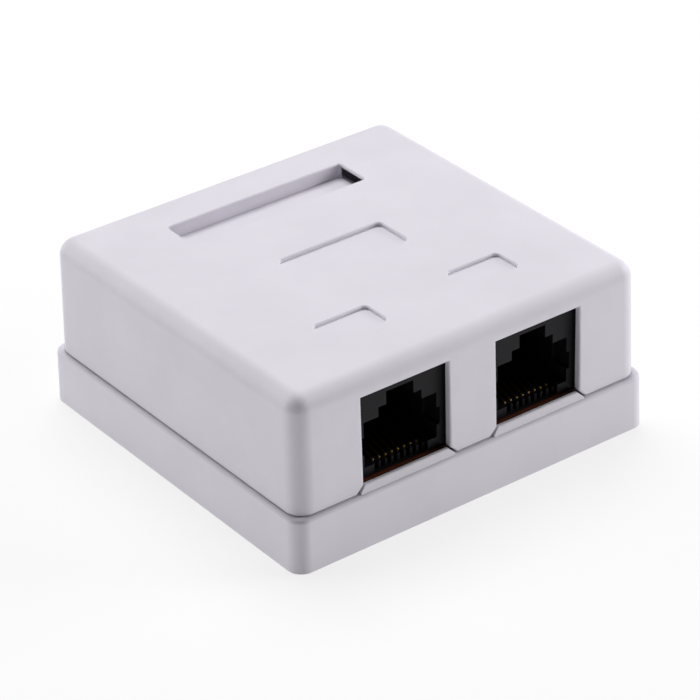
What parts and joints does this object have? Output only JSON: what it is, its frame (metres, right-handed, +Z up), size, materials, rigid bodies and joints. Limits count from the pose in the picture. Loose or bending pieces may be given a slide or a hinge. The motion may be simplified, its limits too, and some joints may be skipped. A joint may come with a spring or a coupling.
{
  "type": "surface mount jack box",
  "caption": "Surface mount jack box: a clip-down cover on a screw-down base, with two modular sockets facing forward and an empty label recess on top.",
  "frame": {"origin": "middle of the base's underside", "axes": "+Z up from the wall or desk that the underside lies on, the sockets face -Y, +X to the right seen from the sockets' side"},
  "size_m": [0.059, 0.0576, 0.0252],
  "materials": {
    "white_casing": "moulded ABS, cool white, satin with a very fine grain",
    "black_housing": "glass-filled PBT, black, satin",
    "brown_laminate_board": "phenolic paper laminate, brown, with tinned copper pads",
    "grey_wire_block": "moulded polycarbonate, satin",
    "gold_plated_contact": "gold plate on phosphor bronze",
    "tinned_blade": "tin plate on phosphor bronze"
  },
  "bodies": {
    "base_body": {"base": "white_casing", "circuit_board": "brown_laminate_board", "jack_housing_left": "black_housing", "contact_carrier_left": "black_housing", "contact_left_1": "gold_plated_contact", "contact_left_2": "gold_plated_contact", "contact_left_3": "gold_plated_contact", "contact_left_4": "gold_plated_contact", "contact_left_5": "gold_plated_contact", "contact_left_6": "gold_plated_contact", "contact_left_7": "gold_plated_contact", "contact_left_8": "gold_plated_contact", "wire_block_left_front": "grey_wire_block", "wire_block_left_back": "grey_wire_block", "wire_blade_left_1": "tinned_blade", "wire_blade_left_2": "tinned_blade", "wire_blade_left_3": "tinned_blade", "wire_blade_left_4": "tinned_blade", "wire_blade_left_5": "tinned_blade", "wire_blade_left_6": "tinned_blade", "wire_blade_left_7": "tinned_blade", "wire_blade_left_8": "tinned_blade", "jack_housing_right": "black_housing", "contact_carrier_right": "black_housing", "contact_right_1": "gold_plated_contact", "contact_right_2": "gold_plated_contact", "contact_right_3": "gold_plated_contact", "contact_right_4": "gold_plated_contact", "contact_right_5": "gold_plated_contact", "contact_right_6": "gold_plated_contact", "contact_right_7": "gold_plated_contact", "contact_right_8": "gold_plated_contact", "wire_block_right_front": "grey_wire_block", "wire_block_right_back": "grey_wire_block", "wire_blade_right_1": "tinned_blade", "wire_blade_right_2": "tinned_blade", "wire_blade_right_3": "tinned_blade", "wire_blade_right_4": "tinned_blade", "wire_blade_right_5": "tinned_blade", "wire_blade_right_6": "tinned_blade", "wire_blade_right_7": "tinned_blade", "wire_blade_right_8": "tinned_blade"},
    "cover_body": {"cover": "white_casing"}
  },
  "joints": [
    {"name": "cover_lift", "type": "slide", "parent": "base_body", "child": "cover_body", "axis": [0, 0, 1], "range_m": [0, 0.03]}
  ]
}
